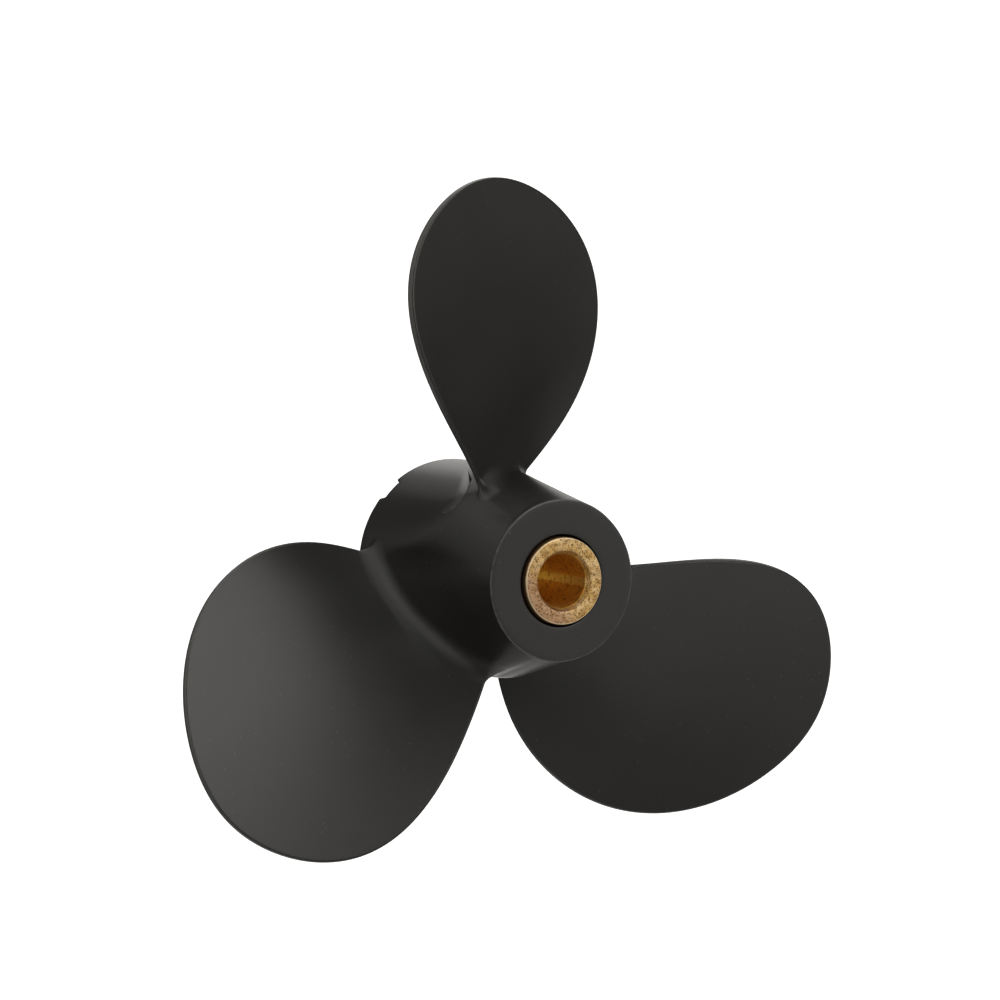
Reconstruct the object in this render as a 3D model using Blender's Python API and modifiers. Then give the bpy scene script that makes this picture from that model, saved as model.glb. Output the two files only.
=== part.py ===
"""Small three-bladed outboard boat propeller, right-handed, 7.5 in across with about 7 in of pitch.

One die-cast aluminium hub with three blades, a rubber cushion bush pressed into it, and the
bronze sleeve that the bush carries and that slides on the drive shaft.

Frame: metres, +Z up. The shaft axis is Y, the wide forward end of the hub is at +Y and the narrow
aft end at -Y. One blade stands straight up. An angle is counted from +Z towards +X, so it grows
clockwise for someone who looks from aft. The origin is on the shaft axis, in the plane where the
blades' screw surface crosses the straight-up line at a third of the tip radius.
"""

import math

import bmesh
import bpy
import numpy as np

MM = 0.001
TURN = 2.0 * math.pi

# Propeller: 7.5 in across the tips, about 7 in of pitch, as the fit to the photo gives it
BLADES = 3
TIP_RADIUS = 95.25 * MM
PITCH = 181.4 * MM
LEAD = PITCH / TURN
RAKE = 3.7 * MM
RAKE_SHARE = 1.0 / 3.0

# Hub barrel, which widens a little from its forward rim to where the parting line runs
HUB_AFT = -29.5 * MM
HUB_FORWARD = 24.9 * MM
RIM_RADIUS = 25.4 * MM
BARREL_RADIUS = 25.7 * MM
AFT_RADIUS = 19.4 * MM
EDGE_CHAMFER = 0.45 * MM

# Parting line of the two die halves: level aft of the barrel, then rising to the next blade's
# leading root, and along the screw surface under each blade
PARTING_LEVEL = -12.6 * MM
PARTING_HIGH = 21.0 * MM
RISE_START = math.radians(-52.0)
RISE_END = math.radians(-76.0)
TRAILING_ROOT = math.radians(-40.0)
LEADING_ROOT = math.radians(37.0)
ROOT_JOIN = math.radians(5.0)
GROOVE_DEPTH = 1.3 * MM
DOME_ROUND = 3.8 * MM

# Bore of the hub, its recess and the ribs left in that
AFT_HOLE_RADIUS = 11.05 * MM
AFT_WALL = 4.0 * MM
BUSH_BORE_RADIUS = 14.5 * MM
BOSS_RADIUS = 17.6 * MM
BOSS_FORWARD = 19.5 * MM
RECESS_RADIUS = 22.2 * MM
RECESS_BOTTOM = 2.0 * MM
RIB_THICKNESS = 5.0 * MM
RIB_LEDGE = 1.0 * MM
NOTCH_ANGLE = math.radians(-43.8)
NOTCH_WIDTH = 6.0 * MM
NOTCH_DEPTH = 2.1 * MM

# Blade outline: half of its angle at the hub, how that closes, and the sweep of its middle line
HALF_ANGLE = math.radians(40.35)
CLOSE_POWER = 2.37
NARROWING = 0.196
NARROW_POWER = 12.0
SWEEP_START = math.radians(6.3)
SWEEP_TIP = math.radians(-11.8)
SWEEP_POWER = 1.5

# The neck near the root, which takes a little off both edges, and the flare at the trailing root
NECK_SHARE = 0.29
NECK_POWER = 5.1
NECK_TRAILING = math.radians(2.27)
NECK_LEADING = math.radians(6.66)
FLARE_TRAILING = math.radians(1.4)
FLARE_POWER = 9.0

# Blade thickness and the fillets at its root
EDGE_HALF_THICKNESS = 1.0 * MM
ROOT_CROWN = 3.4 * MM
PRESSURE_FILLET = 4.5 * MM
SUCTION_FILLET = 4.5 * MM

# Bush and sleeve
GAP = 0.3 * MM
SLEEVE_RADIUS = 10.5 * MM
SLEEVE_BORE = 6.5 * MM
SLEEVE_AFT = HUB_AFT - 1.25 * MM
SLEEVE_FORWARD = 21.5 * MM
BORE_CHAMFER = 0.85 * MM
PIN_SLOT_WIDTH = 5.2 * MM
PIN_SLOT_DEPTH = 6.0 * MM
BUSH_FORWARD = 17.5 * MM

# Fineness of the meshes
HUB_STEPS = 90
SLEEVE_STEPS = 48
BLADE_COLUMNS = 17
STATIONS = (0.18, 0.225, 0.25, 0.27, 0.285, 0.305, 0.33, 0.37, 0.42, 0.48, 0.54, 0.60,
            0.66, 0.72, 0.78, 0.83, 0.875, 0.915, 0.945, 0.97, 0.985, 0.994, 0.9995)


def clear_scene():
    for obj in list(bpy.data.objects):
        bpy.data.objects.remove(obj, do_unlink=True)


def new_collection(name):
    made = bpy.data.collections.new(name)
    bpy.context.scene.collection.children.link(made)
    return made


def principled(name, colour, roughness, metallic):
    """A material with one Principled BSDF."""
    made = bpy.data.materials.new(name)
    made.use_nodes = True
    shader = made.node_tree.nodes["Principled BSDF"]
    shader.inputs["Base Color"].default_value = (*colour, 1.0)
    shader.inputs["Roughness"].default_value = roughness
    shader.inputs["Metallic"].default_value = metallic
    made.diffuse_color = (*colour, 1.0)
    return made


def add_object(name, mesh, collection, material=None):
    made = bpy.data.objects.new(name, mesh)
    collection.objects.link(made)
    if material is not None:
        mesh.materials.append(material)
    return made


def as_cutter(obj):
    obj.hide_render = True
    obj.display_type = "WIRE"
    return obj


def boolean(obj, other, operation):
    made = obj.modifiers.new(operation.lower() + "_" + other.name, "BOOLEAN")
    made.operation = operation
    made.solver = "EXACT"
    made.object = other
    return made


def turned(name, profile, steps, collection, material=None):
    """A closed profile of (radius, station) turned about the shaft axis.

    The outer side of the profile runs from the forward end to the aft end.
    """
    mesh = bpy.data.meshes.new(name)
    count = len(profile)
    edges = [(i, (i + 1) % count) for i in range(count)]
    mesh.from_pydata([(radius, 0.0, station) for radius, station in profile], edges, [])
    obj = add_object(name, mesh, collection, material)
    screw = obj.modifiers.new("turn", "SCREW")
    screw.axis = "Z"
    screw.angle = TURN
    screw.steps = steps
    screw.render_steps = steps
    screw.use_merge_vertices = True
    screw.merge_threshold = 0.00001
    obj.rotation_euler = (-math.pi / 2.0, 0.0, 0.0)
    return obj


def block(name, size, place, turn, collection):
    """A box cutter of the given size, moved to place and then turned about the shaft axis."""
    mesh = bpy.data.meshes.new(name)
    shape = bmesh.new()
    bmesh.ops.create_cube(shape, size=1.0)
    bmesh.ops.scale(shape, vec=size, verts=shape.verts)
    bmesh.ops.translate(shape, vec=place, verts=shape.verts)
    shape.to_mesh(mesh)
    shape.free()
    obj = add_object(name, mesh, collection)
    obj.rotation_euler = (0.0, turn, 0.0)
    return as_cutter(obj)


def mesh_from_rings(name, rings, closed_along):
    """A mesh skinned over rings of points that all have the same count.

    closed_along joins the last ring to the first; otherwise each end is closed by strips.
    """
    count, around = rings.shape[:2]
    index = np.arange(count * around).reshape(count, around)
    here = index if closed_along else index[:-1]
    ahead = np.roll(index, -1, axis=0) if closed_along else index[1:]
    side = np.stack([here, np.roll(here, -1, 1), np.roll(ahead, -1, 1), ahead], axis=-1)
    faces = side.reshape(-1, 4).tolist()
    if not closed_along:
        half = around // 2
        for ring, flip in ((index[0], False), (index[-1], True)):
            for j in range(half):
                quad = [ring[j], ring[-j % around], ring[(-j - 1) % around], ring[j + 1]]
                quad = list(dict.fromkeys(int(point) for point in quad))
                faces.append(quad[::-1] if flip else quad)
    mesh = bpy.data.meshes.new(name)
    mesh.from_pydata(rings.reshape(-1, 3).tolist(), [], faces)
    shape = bmesh.new()
    shape.from_mesh(mesh)
    bmesh.ops.remove_doubles(shape, verts=shape.verts, dist=1e-7)
    bmesh.ops.triangulate(shape, faces=shape.faces)
    bmesh.ops.recalc_face_normals(shape, faces=shape.faces)
    if shape.calc_volume(signed=True) < 0.0:
        bmesh.ops.reverse_faces(shape, faces=shape.faces)
    shape.to_mesh(mesh)
    shape.free()
    return mesh


def on_shaft(angle, radius, station):
    """Points from an angle about the shaft, a radius and a station along it."""
    return np.stack([radius * np.sin(angle), station, radius * np.cos(angle)], axis=-1)


def smooth_step(share):
    """0 below 0, 1 above 1 and an S curve between them."""
    share = np.clip(share, 0.0, 1.0)
    return share**2 * (3.0 - 2.0 * share)


def parting_station(angle):
    """Station of the parting line at an angle, which repeats from blade to blade."""
    step = TURN / BLADES
    angle = np.mod(angle - LEADING_ROOT, step) + LEADING_ROOT - step
    rise = smooth_step((RISE_START - angle) / (RISE_START - RISE_END))
    between = PARTING_LEVEL + (PARTING_HIGH - PARTING_LEVEL) * rise
    from_leading = (angle - LEADING_ROOT + step) / ROOT_JOIN
    to_trailing = (angle - TRAILING_ROOT) / ROOT_JOIN
    last = LEAD * LEADING_ROOT
    joined = last + (between - last) * np.clip(from_leading, 0.0, 1.0)
    return joined + (LEAD * angle - joined) * np.clip(to_trailing, 0.0, 1.0)


def groove_share(angle):
    """How much of the groove along the parting line is there: it fades out where the line rises."""
    step = TURN / BLADES
    angle = np.mod(angle - LEADING_ROOT, step) + LEADING_ROOT - step
    fade = smooth_step((angle - (RISE_START + RISE_END) / 2.0) / math.radians(14.0))
    under_blade = smooth_step((angle - TRAILING_ROOT) / ROOT_JOIN)
    return fade * (1.0 - under_blade)


def passage_radius(angle, station):
    """Radius of the hub aft of the parting line: a taper from the aft face to that line."""
    share = (station - HUB_AFT) / (parting_station(angle) - HUB_AFT)
    return AFT_RADIUS + (RIM_RADIUS - AFT_RADIUS) * share


def blade_station(angle, share):
    """Station of the blades' screw surface at an angle from the blade's own centre line."""
    return LEAD * angle - RAKE * (share - RAKE_SHARE)


def blade_angles(share):
    """Trailing and leading edge angles where radius / tip radius is share.

    The half angle closes as an ellipse and narrows a little towards the tip. The middle line
    between the two edges sweeps back as a power.
    """
    close = np.sqrt(1.0 - share**CLOSE_POWER)
    half = HALF_ANGLE * close * (1.0 - NARROWING * share**NARROW_POWER)
    middle = SWEEP_START + SWEEP_TIP * share**SWEEP_POWER
    inner = np.clip((1.0 - share) / (1.0 - NECK_SHARE), 0.0, 1.0)
    neck = inner**NECK_POWER
    flare = FLARE_TRAILING * inner**FLARE_POWER
    return middle - half + NECK_TRAILING * neck - flare, middle + half - NECK_LEADING * neck


def edge_distance(angle, share):
    """Distance in the blade's own surface from each point to the nearest point of its edge."""
    along = 1.0 - (1.0 - STATIONS[0]) * np.linspace(0.0, 1.0, 160) ** 2
    trailing, leading = blade_angles(along)
    edge_angle = np.concatenate([trailing, leading])
    edge_share = np.concatenate([along, along])
    radius = share * TIP_RADIUS
    across = np.sqrt(radius**2 + LEAD**2)[..., None] * (angle[..., None] - edge_angle)
    outward = TIP_RADIUS * (share[..., None] - edge_share)
    return np.sqrt(across**2 + outward**2).min(axis=-1)


def fillet(height, radius):
    """Quarter round: how far a fillet stands out at a height above the surface it meets."""
    reach = np.clip(1.0 - height / radius, 0.0, 1.0)
    return radius * (1.0 - np.sqrt(1.0 - reach**2))


def moved_off(angle, radius, station, distance):
    """Points moved along the screw surface's normal, forward where distance is positive."""
    slope = np.arctan2(LEAD, radius)
    return angle - distance * np.sin(slope) / radius, station + distance * np.cos(slope)


def blade_mesh(name):
    """One blade lofted through sections that each lie on a cylinder about the shaft."""
    share = np.array(STATIONS)[:, None]
    column = np.sin(np.linspace(-1.0, 1.0, BLADE_COLUMNS) * math.pi / 2.0)[None, :]
    trailing, leading = blade_angles(share)
    angle = (trailing + leading) / 2.0 + column * (leading - trailing) / 2.0
    share = np.broadcast_to(share, angle.shape)
    radius = share * TIP_RADIUS
    station = blade_station(angle, share)
    inward = np.clip(edge_distance(angle, share) / EDGE_HALF_THICKNESS, 0.0, 1.0)
    edge = EDGE_HALF_THICKNESS * np.sqrt(1.0 - (1.0 - inward) ** 2)
    body = 1.0 - column**2
    taper = np.sqrt(np.clip(body, 0.0, 1.0))
    crown = ROOT_CROWN * (1.0 - share) * body
    forward = edge + crown + taper * fillet(radius - BARREL_RADIUS, SUCTION_FILLET)
    aft = edge
    for _ in range(4):
        foot = passage_radius(*moved_off(angle, radius, station, -aft))
        aft = edge + taper * fillet(radius - np.minimum(foot, RIM_RADIUS), PRESSURE_FILLET)
    sides = [(*moved_off(angle, radius, station, distance), radius) for distance in (forward, -aft)]
    suction, pressure = [on_shaft(turned_to, out, along) for turned_to, along, out in sides]
    rings = np.concatenate([suction, pressure[:, -2:0:-1]], axis=1)
    return mesh_from_rings(name, rings, closed_along=False)


def passage_cutter(collection):
    """What is cut from the barrel aft of the parting line, between and under the blades.

    Each section lies in a half plane through the shaft: along the tapered surface, down into the
    groove at the parting line, up the rounded end of the barrel and back outside it.
    """
    angle = TURN * np.arange(HUB_STEPS) / HUB_STEPS
    line = parting_station(angle)
    depth = 0.3 * MM + GROOVE_DEPTH * groove_share(angle)
    reach = DOME_ROUND * (0.3 + 0.7 * groove_share(angle))
    behind = np.full(HUB_STEPS, HUB_AFT - 2.0 * MM)
    outside = np.full(HUB_STEPS, BARREL_RADIUS + 4.0 * MM)
    section = [(passage_radius(angle, behind), behind),
               (np.full(HUB_STEPS, RIM_RADIUS - 0.1 * MM), line - 0.3 * MM)]
    for part in (0.0, 0.35, 0.7, 1.0):
        below = depth * (1.0 - part) ** 2 - 0.15 * MM * part
        section.append((BARREL_RADIUS - below, line + reach * (0.2 + 0.8 * part)))
    section.append((outside, line + reach * 1.05))
    section.append((outside, behind))
    rings = np.stack([on_shaft(angle, radius, station) for radius, station in section], axis=1)
    mesh = mesh_from_rings("passage_cutter", rings, closed_along=True)
    return as_cutter(add_object("passage_cutter", mesh, collection))


def recess_cutter(collection):
    """The ring-shaped recess in the forward end, with three ribs left in line with the blades."""
    forward = HUB_FORWARD + 3.0 * MM
    profile = [(RECESS_RADIUS, forward), (RECESS_RADIUS - 0.6 * MM, RECESS_BOTTOM),
               (BOSS_RADIUS + 0.4 * MM, RECESS_BOTTOM), (BOSS_RADIUS, forward)]
    cutter = as_cutter(turned("recess_cutter", profile, HUB_STEPS, collection))
    for k in range(BLADES):
        size = (RIB_THICKNESS, 40.0 * MM, 12.0 * MM)
        place = (0.0, HUB_FORWARD - 24.0 * MM, RECESS_RADIUS - 2.0 * MM)
        rib = block(f"rib_{k}", size, place, TURN * (k + 0.1) / BLADES, collection)
        boolean(cutter, rib, "DIFFERENCE")
    return cutter


def propeller_casting(parts, cutters):
    paint = principled("black_paint", (0.028, 0.027, 0.025), 0.45, 0.2)
    profile = [
        (BUSH_BORE_RADIUS, BOSS_FORWARD),
        (RECESS_RADIUS - RIB_LEDGE, BOSS_FORWARD),
        (RECESS_RADIUS - RIB_LEDGE / 2.0, HUB_FORWARD),
        (RIM_RADIUS - EDGE_CHAMFER, HUB_FORWARD),
        (RIM_RADIUS, HUB_FORWARD - EDGE_CHAMFER),
        (BARREL_RADIUS, PARTING_LEVEL),
        (BARREL_RADIUS, HUB_AFT),
        (AFT_HOLE_RADIUS, HUB_AFT),
        (AFT_HOLE_RADIUS, HUB_AFT + AFT_WALL),
        (BUSH_BORE_RADIUS, HUB_AFT + AFT_WALL),
    ]
    hub = turned("propeller_casting", profile, HUB_STEPS, parts, paint)
    boolean(hub, passage_cutter(cutters), "DIFFERENCE")
    blade = blade_mesh("blade")
    for k in range(BLADES):
        root = as_cutter(add_object(f"blade_{k}", blade, cutters))
        root.rotation_euler = (0.0, TURN * k / BLADES, 0.0)
        boolean(hub, root, "UNION")
    boolean(hub, recess_cutter(cutters), "DIFFERENCE")
    for k in range(BLADES):
        size = (NOTCH_WIDTH, 2.0 * NOTCH_DEPTH, 10.0 * MM)
        place = (0.0, HUB_FORWARD, RIM_RADIUS)
        notch = block(f"notch_{k}", size, place, NOTCH_ANGLE + TURN * k / BLADES, cutters)
        boolean(hub, notch, "DIFFERENCE")
    return hub


def rubber_bush(parts):
    rubber = principled("black_rubber", (0.012, 0.012, 0.012), 0.85, 0.0)
    aft = HUB_AFT + AFT_WALL + GAP
    outer = BUSH_BORE_RADIUS - GAP
    inner = SLEEVE_RADIUS + GAP
    profile = [(outer, BUSH_FORWARD), (outer, aft), (inner, aft), (inner, BUSH_FORWARD)]
    return turned("rubber_bush", profile, SLEEVE_STEPS, parts, rubber)


def bronze_sleeve(parts, cutters):
    bronze = principled("bronze", (0.42, 0.27, 0.13), 0.5, 0.9)
    depth = 1.6 * BORE_CHAMFER
    profile = [
        (SLEEVE_RADIUS - 0.3 * MM, SLEEVE_FORWARD),
        (SLEEVE_RADIUS, SLEEVE_FORWARD - 0.3 * MM),
        (SLEEVE_RADIUS, SLEEVE_AFT + 0.3 * MM),
        (SLEEVE_RADIUS - 0.3 * MM, SLEEVE_AFT),
        (SLEEVE_BORE + BORE_CHAMFER, SLEEVE_AFT),
        (SLEEVE_BORE, SLEEVE_AFT + depth),
        (SLEEVE_BORE, SLEEVE_FORWARD - depth),
        (SLEEVE_BORE + BORE_CHAMFER, SLEEVE_FORWARD),
    ]
    sleeve = turned("bronze_sleeve", profile, SLEEVE_STEPS, parts, bronze)
    size = (4.0 * SLEEVE_RADIUS, 2.0 * PIN_SLOT_DEPTH, PIN_SLOT_WIDTH)
    slot = block("pin_slot", size, (0.0, SLEEVE_FORWARD, 0.0), 0.0, cutters)
    boolean(sleeve, slot, "DIFFERENCE")
    return sleeve


def main():
    clear_scene()
    parts = new_collection("outboard_propeller")
    cutters = new_collection("cutters")
    propeller_casting(parts, cutters)
    rubber_bush(parts)
    bronze_sleeve(parts, cutters)
    for obj in parts.objects:
        obj.data.shade_smooth()
        obj.data.set_sharp_from_angle(angle=math.radians(35.0))


main()
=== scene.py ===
# %% [markdown]
# # A small outboard propeller
#
# The object is the propeller of a small outboard boat engine: a die-cast aluminium hub with three
# blades in satin black paint, a rubber cushion pressed into the hub, and a sintered bronze sleeve
# that slides on the drive shaft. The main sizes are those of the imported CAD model. This script
# gives the fine surface of the casting, the bush and the sleeve, and their finishes.
#
# Each shape below is a surface worked out with numpy: a formula of two parameters on a grid. That
# suits a propeller, because its blades really are a formula, a screw surface of one fixed pitch.

import math

import bmesh
import bpy
import numpy as np
from mathutils import Matrix, Vector


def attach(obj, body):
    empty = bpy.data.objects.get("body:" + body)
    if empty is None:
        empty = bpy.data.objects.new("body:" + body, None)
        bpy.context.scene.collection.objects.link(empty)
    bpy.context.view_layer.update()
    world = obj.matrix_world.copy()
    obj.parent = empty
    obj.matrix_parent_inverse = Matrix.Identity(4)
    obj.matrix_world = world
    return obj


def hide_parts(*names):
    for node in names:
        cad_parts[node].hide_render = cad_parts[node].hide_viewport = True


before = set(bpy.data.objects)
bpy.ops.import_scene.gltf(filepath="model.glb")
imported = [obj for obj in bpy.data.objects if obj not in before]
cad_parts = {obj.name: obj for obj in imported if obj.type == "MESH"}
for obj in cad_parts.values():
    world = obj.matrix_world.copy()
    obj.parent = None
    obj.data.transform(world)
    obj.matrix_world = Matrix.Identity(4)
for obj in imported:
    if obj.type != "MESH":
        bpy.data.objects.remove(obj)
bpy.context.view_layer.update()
print("nodes:", sorted(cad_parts))

# %% [markdown]
# ## Sizes
#
# Lengths in this script are millimetres, as on a drawing, and `make_piece` turns them into metres.
# Angles about the shaft are counted from straight up, clockwise for someone who looks from aft. A
# station is a place along the shaft, with the aft end of the hub at the lower number.
#
# The blades are sections of a screw surface: walk round the shaft by one turn and it has moved
# forward by the pitch. Dividing the pitch by one turn in radians gives the lead used below.

# %% Driving sizes
TURN = 2.0 * np.pi
BLADES = 3
STEP = TURN / BLADES
TIP_RADIUS = 95.25
PITCH = 181.4
LEAD = PITCH / TURN
RAKE = 3.7
RAKE_SHARE = 1.0 / 3.0

HUB_AFT = -29.5
HUB_FORWARD = 24.9
RIM_RADIUS = 25.4
AFT_RADIUS = 19.4
BARREL_DRAFT = 0.008
HOLE_RADIUS = 11.05
AFT_WALL = 4.0
BUSH_BORE_RADIUS = 14.5
BOSS_RADIUS = 17.6
BOSS_FORWARD = 19.5
RECESS_RADIUS = 22.2
RECESS_BOTTOM = 2.0

SLEEVE_RADIUS = 10.5
SLEEVE_BORE = 6.5
SLEEVE_AFT = HUB_AFT - 1.25
SLEEVE_FORWARD = 21.5
print(f"hub {HUB_FORWARD - HUB_AFT:.1f} mm long, {2 * TIP_RADIUS:.1f} mm across the tips")

# %% [markdown]
# ## From grids to meshes
#
# A grid of points becomes a mesh by numbering the points and joining each one to its neighbours.
# `make_piece` joins several closed shells into one mesh, welds points that coincide, turns each
# shell's faces outward and leaves the object at the origin, with its place in its mesh.

# %% Grid helpers
MM = 0.001
WELD = 1e-7


def grid_faces(rows, columns, loop_rows=False, loop_columns=False):
    """Four-sided faces of a grid of points: each joins (i, j), (i, j+1), (i+1, j+1), (i+1, j)."""
    index = np.arange(rows * columns).reshape(rows, columns)
    if loop_rows:
        index = np.vstack([index, index[:1]])
    if loop_columns:
        index = np.hstack([index, index[:, :1]])
    corners = [index[:-1, :-1], index[:-1, 1:], index[1:, 1:], index[1:, :-1]]
    return np.stack(corners, axis=-1).reshape(-1, 4)


def on_shaft(angle, radius, station):
    """Points from an angle about the shaft, a radius and a station: (r sin a, station, r cos a)."""
    angle, radius, station = np.broadcast_arrays(angle, radius, station)
    return np.stack([radius * np.sin(angle), station, radius * np.cos(angle)], axis=-1)


def shell_volume(points, faces):
    """Volume of a closed shell: the sum over its faces of the wedges back to the origin."""
    a, b, c, d = (points[faces[:, k]] for k in range(4))
    wedge = np.einsum("ij,ij->i", a, np.cross(b, c)) + np.einsum("ij,ij->i", a, np.cross(c, d))
    return wedge.sum() / 6.0


def make_piece(name, shells, sharp_degrees=40.0):
    """One object from closed shells, each a pair of points in millimetres and four-sided faces."""
    points = []
    faces = []
    count = 0
    for shell_points, shell_faces in shells:
        shell_points = shell_points.reshape(-1, 3)
        outward = shell_volume(shell_points, shell_faces) > 0.0
        faces.append((shell_faces if outward else shell_faces[:, ::-1]) + count)
        points.append(shell_points)
        count += len(shell_points)
    points = np.concatenate(points) * MM
    faces = np.concatenate(faces)
    mesh = bpy.data.meshes.new(name)
    mesh.vertices.add(len(points))
    mesh.vertices.foreach_set("co", points.astype(np.float32).ravel())
    mesh.loops.add(faces.size)
    mesh.loops.foreach_set("vertex_index", faces.astype(np.int32).ravel())
    mesh.polygons.add(len(faces))
    mesh.polygons.foreach_set("loop_start", np.arange(0, faces.size, 4, dtype=np.int32))
    mesh.update(calc_edges=True)
    mesh.validate()
    made = bpy.data.objects.new(name, mesh)
    bpy.context.scene.collection.objects.link(made)
    weld_points(mesh)
    mesh.shade_smooth()
    mesh.set_sharp_from_angle(angle=math.radians(sharp_degrees))
    print(f"{name}: {len(mesh.vertices)} points, {len(mesh.polygons)} faces")
    return made


def weld_points(mesh):
    """Merges points that coincide, so that poles and seams close, and drops the empty faces."""
    shape = bmesh.new()
    shape.from_mesh(mesh)
    bmesh.ops.remove_doubles(shape, verts=shape.verts, dist=WELD)
    shape.to_mesh(mesh)
    shape.free()


def smooth_step(share):
    """0 below 0, 1 above 1 and the S curve 3t^2 - 2t^3 between them."""
    share = np.clip(share, 0.0, 1.0)
    return share**2 * (3.0 - 2.0 * share)


def soft_min(a, b, width):
    """The smaller of two values, with the corner between them rounded over a width."""
    return 0.5 * (a + b - np.sqrt((a - b) ** 2 + width**2))


def soft_max(a, b, width):
    """The larger of two values, with the corner between them rounded over a width."""
    return 0.5 * (a + b + np.sqrt((a - b) ** 2 + width**2))


# %% [markdown]
# ## The hub's outer skin
#
# The casting comes out of a die in two halves. The forward half leaves a plain barrel, which ends
# behind each blade's trailing root in a rounded shoulder. The aft half leaves a cone that narrows
# to the aft face, so that the casting lets go of the die, and that ends in a crisp corner. A groove
# lies between the two. The shoulder has an outline like a tongue: a level end, which hooks forward
# beside the trailing root, and a side that fades out on its way forward.
#
# A turned profile can't hold an outline like that. So the skin is a radius as a function of angle
# and station. The blades' fillets below stand on the same function without its groove.

# %% Radius of the hub's skin
# Taper of the aft half: a plain cone between the two full angles, which blends beyond them into
# lines that rise to a blade's root.
ROOT_RADIUS = 25.6
CONE_END = -13.8
CONE_END_RADIUS = 24.7
CONE_SLOPE = (CONE_END_RADIUS - AFT_RADIUS) / (CONE_END - HUB_AFT)
CONE_LEADING = math.radians(-91.0)
CONE_LEADING_FULL = math.radians(-50.0)
CONE_TRAILING_FULL = math.radians(-45.0)
CONE_TRAILING = math.radians(-22.0)
CONE_SOFT = 0.5
CONE_SOFTER = 1.0
SOFTER_SPAN = math.radians(12.0)

# The shoulder's outline, its hook forward beside the trailing root and its arc.
SHOULDER_END = -12.6
SHOULDER_SIDE = math.radians(-55.8)
SHOULDER_CORNER = 4.0
SHOULDER_ROUND = 3.8
SHOULDER_START = -0.74
HOOK_START = math.radians(-40.0)
HOOK_SOFT = math.radians(5.0)
HOOK_SLOPE = 29.0
ARC_END = 0.999
ARC_BEYOND = 8.0

# The groove's wall, its two roundings, and where it fades out.
GROOVE_TOP = 24.9
GROOVE_WALL = 3.6
GROOVE_LIP = 0.25
GROOVE_FLOOR = 0.12
UNDER_BLADE = math.radians(-17.0)
UNDER_SOFT = math.radians(7.0)
SIDE_FADE = math.radians(-44.0)
SIDE_SOFT = math.radians(7.0)
SIDE_FADE_START = -12.5
SIDE_FADE_LENGTH = 6.0
CUT = math.radians(-100.0)


def in_passage(angle):
    """The same angle counted from the nearest blade, from 100 degrees behind it to 20 ahead."""
    return np.mod(angle - CUT, STEP) + CUT


def barrel_radius(station):
    """The barrel's radius: it grows a little from the forward rim towards aft."""
    return RIM_RADIUS + BARREL_DRAFT * (HUB_FORWARD - np.maximum(station, SHOULDER_END))


def shoulder_end(angle):
    """Station of the shoulder's end line: level, and a straight line forward beside the blade."""
    return SHOULDER_END + HOOK_SLOPE * soft_max(in_passage(angle) - HOOK_START, 0.0, HOOK_SOFT)


def inside_shoulder(angle, station):
    """Distance inside the shoulder's outline.

    The smaller of the distances from its end line and its side line, with a rounded corner.
    """
    nudge = 1e-3
    climb = (shoulder_end(angle + nudge) - shoulder_end(angle - nudge)) / (2.0 * nudge * RIM_RADIUS)
    ahead = (station - shoulder_end(angle)) / np.sqrt(1.0 + climb**2)
    beside = RIM_RADIUS * (in_passage(angle) - SHOULDER_SIDE)
    return soft_min(ahead, beside, SHOULDER_CORNER)


def groove_share(angle, station):
    """How much of the groove is there: it fades out under the blade and along the far side."""
    angle = in_passage(angle)
    under = smooth_step((angle - UNDER_BLADE) / UNDER_SOFT)
    along = smooth_step((station - SIDE_FADE_START) / SIDE_FADE_LENGTH)
    return (1.0 - under) * (1.0 - along * smooth_step((SIDE_FADE - angle) / SIDE_SOFT))


def plain_radius(angle, station):
    """Radius of the skin without the groove: the lower of the aft half's taper and the barrel.

    Under a blade the taper is straight lines from the aft face up to the blade's root. Behind the
    trailing root it is a steep cone. Between the two its slope changes slowly.
    """
    angle = in_passage(angle)
    rise = ROOT_RADIUS - AFT_RADIUS
    ahead = rise / (LEAD * (np.minimum(angle, CONE_LEADING_FULL) + STEP) - HUB_AFT)
    behind = rise / (LEAD * np.maximum(angle, HOOK_START) - HUB_AFT)
    leading = 1.0 - smooth_step((angle - CONE_LEADING) / (CONE_LEADING_FULL - CONE_LEADING))
    trailing = smooth_step((angle - CONE_TRAILING_FULL) / (CONE_TRAILING - CONE_TRAILING_FULL))
    slope = CONE_SLOPE + (ahead - CONE_SLOPE) * leading + (behind - CONE_SLOPE) * trailing
    beyond = smooth_step((CONE_TRAILING_FULL - angle) / SOFTER_SPAN)
    beyond = beyond * smooth_step((angle - CONE_LEADING) / SOFTER_SPAN)
    taper = AFT_RADIUS + slope * (station - HUB_AFT)
    return soft_min(taper, barrel_radius(station), CONE_SOFT + CONE_SOFTER * beyond)


def hub_radius(angle, station):
    """Radius of the hub's skin: the plain skin, and the groove where it is.

    In the groove the taper drops by a straight wall, and the shoulder rises as an arc, which goes
    on as a steep line below its end.
    """
    plain = plain_radius(angle, station)
    inside = inside_shoulder(angle, station)
    corner = soft_min(plain, GROOVE_TOP - GROOVE_WALL * inside, GROOVE_LIP)
    inward = 1.0 - (inside - SHOULDER_START) / SHOULDER_ROUND
    arc = SHOULDER_ROUND * (1.0 - np.sqrt(1.0 - np.clip(inward, 0.0, ARC_END) ** 2))
    arc = arc + ARC_BEYOND * SHOULDER_ROUND * np.clip(inward - ARC_END, 0.0, None)
    grooved = soft_max(corner, barrel_radius(station) - arc, GROOVE_FLOOR)
    return plain + (grooved - plain) * groove_share(angle, station)


print(f"skin at the corner: {float(hub_radius(CONE_TRAILING_FULL, CONE_END)):.2f} mm")

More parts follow.
